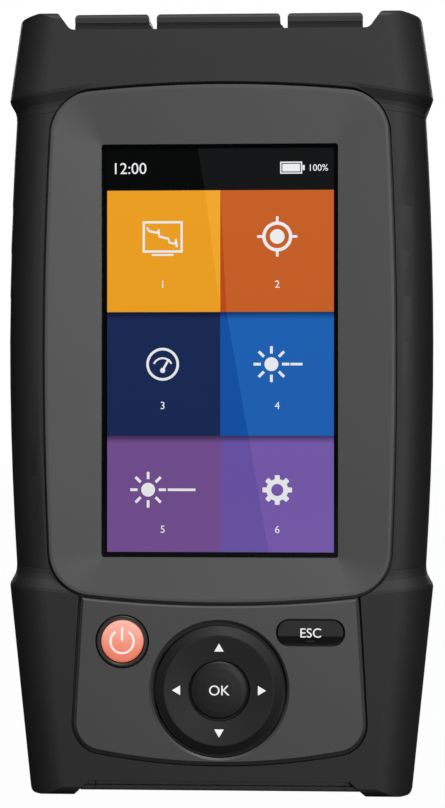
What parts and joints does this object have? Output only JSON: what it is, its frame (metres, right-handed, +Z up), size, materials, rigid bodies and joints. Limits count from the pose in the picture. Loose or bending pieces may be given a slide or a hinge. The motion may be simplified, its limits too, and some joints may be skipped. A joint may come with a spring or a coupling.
{
  "type": "optical time domain reflectometer",
  "caption": "Handheld fibre tester with a colour touch screen, keypad, hinged rubber port caps, rubber bumpers and a folding rear stand.",
  "frame": {"origin": "middle of the footprint, on the plane of the feet", "axes": "+Z up, -Y the side with the screen, +X to the right of a person looking at the screen"},
  "size_m": [0.1176, 0.0624, 0.2144],
  "materials": {
    "shell_plastic": "fine satin texture",
    "bumper_rubber": "soft matt overmould",
    "seal_rubber": "matt",
    "frame_plastic": "satin grey",
    "panel_plastic": "satin grey",
    "screen_glass": "clear hard-coated",
    "display_lit": "lit colour display",
    "board_green": "solder mask",
    "switch_metal": "plated",
    "pin_steel": "plain",
    "port_plastic": "black",
    "port_metal": "satin",
    "module_metal": "milled",
    "spool_plastic": "natural",
    "chip_plastic": "black",
    "battery_wrap": "shrink film",
    "contact_brass": "gold plated",
    "base_plastic": "satin",
    "cap_rubber": "soft matt",
    "power_orange": "translucent satin",
    "key_plastic": "satin black",
    "stand_plastic": "satin"
  },
  "bodies": {
    "chassis": {"front_shell": "shell_plastic", "rear_shell": "shell_plastic", "shell_seal": "seal_rubber", "top_bumper": "bumper_rubber", "bottom_bumper": "bumper_rubber", "screen_frame": "frame_plastic", "keypad_panel": "panel_plastic", "touch_glass": "screen_glass", "display_gasket": "seal_rubber", "lcd_panel": "display_lit", "power_ring": "frame_plastic", "key_board": "board_green", "key_switches": "switch_metal", "cap_pins": "pin_steel", "port_rail": "port_plastic", "port_plate": "port_metal", "vfl_port": "port_metal", "otdr_port": "port_metal", "meter_port": "port_metal", "usb_socket": "switch_metal", "dc_jack": "port_plastic", "optical_module": "module_metal", "fibre_spool": "spool_plastic", "main_board": "board_green", "board_chips": "chip_plastic", "board_screws": "pin_steel", "battery_pack": "battery_wrap", "battery_contacts": "contact_brass", "battery_cover": "shell_plastic", "cover_screws": "pin_steel", "shell_screws": "pin_steel", "speaker": "chip_plastic", "stand_pin": "pin_steel", "base_plate": "base_plastic"},
    "left_cap": {"port_cap_left": "cap_rubber"},
    "middle_cap": {"port_cap_middle": "cap_rubber"},
    "right_cap": {"port_cap_right": "cap_rubber"},
    "power_button": {"power_key": "power_orange", "power_plunger": "chip_plastic"},
    "enter_button": {"enter_key": "key_plastic", "enter_plunger": "chip_plastic"},
    "back_button": {"back_key": "key_plastic", "back_plunger": "chip_plastic"},
    "nav_rocker": {"nav_gimbal": "chip_plastic"},
    "nav_pad": {"nav_ring": "key_plastic"},
    "stand": {"kickstand": "stand_plastic"}
  },
  "joints": [
    {"name": "port_cap_left_hinge", "type": "hinge", "parent": "chassis", "child": "left_cap", "pos_m": [0, 0.013, 0.2123], "axis": [-1, 0, 0], "range_deg": [0, 100]},
    {"name": "port_cap_middle_hinge", "type": "hinge", "parent": "chassis", "child": "middle_cap", "pos_m": [0, 0.013, 0.2123], "axis": [-1, 0, 0], "range_deg": [0, 100]},
    {"name": "port_cap_right_hinge", "type": "hinge", "parent": "chassis", "child": "right_cap", "pos_m": [0, 0.013, 0.2123], "axis": [-1, 0, 0], "range_deg": [0, 100]},
    {"name": "power_press", "type": "slide", "parent": "chassis", "child": "power_button", "axis": [0, 1, 0], "range_m": [0, 0.0005], "stiffness_N_per_m": 2500, "springref_m": -0.0004},
    {"name": "enter_press", "type": "slide", "parent": "chassis", "child": "enter_button", "axis": [0, 1, 0], "range_m": [0, 0.0005], "stiffness_N_per_m": 2500, "springref_m": -0.0004},
    {"name": "back_press", "type": "slide", "parent": "chassis", "child": "back_button", "axis": [0, 1, 0], "range_m": [0, 0.0005], "stiffness_N_per_m": 2500, "springref_m": -0.0004},
    {"name": "nav_up_down", "type": "hinge", "parent": "chassis", "child": "nav_rocker", "pos_m": [0, -0.02705, 0.0292], "axis": [1, 0, 0], "range_deg": [-2, 2], "stiffness_Nm_per_rad": 0.3},
    {"name": "nav_left_right", "type": "hinge", "parent": "nav_rocker", "child": "nav_pad", "pos_m": [0, -0.02845, 0.0292], "axis": [0, 0, 1], "range_deg": [-2, 2], "stiffness_Nm_per_rad": 0.3},
    {"name": "kickstand_hinge", "type": "hinge", "parent": "chassis", "child": "stand", "pos_m": [0, 0.0282, 0.1768], "axis": [1, 0, 0], "range_deg": [0, 45]}
  ]
}
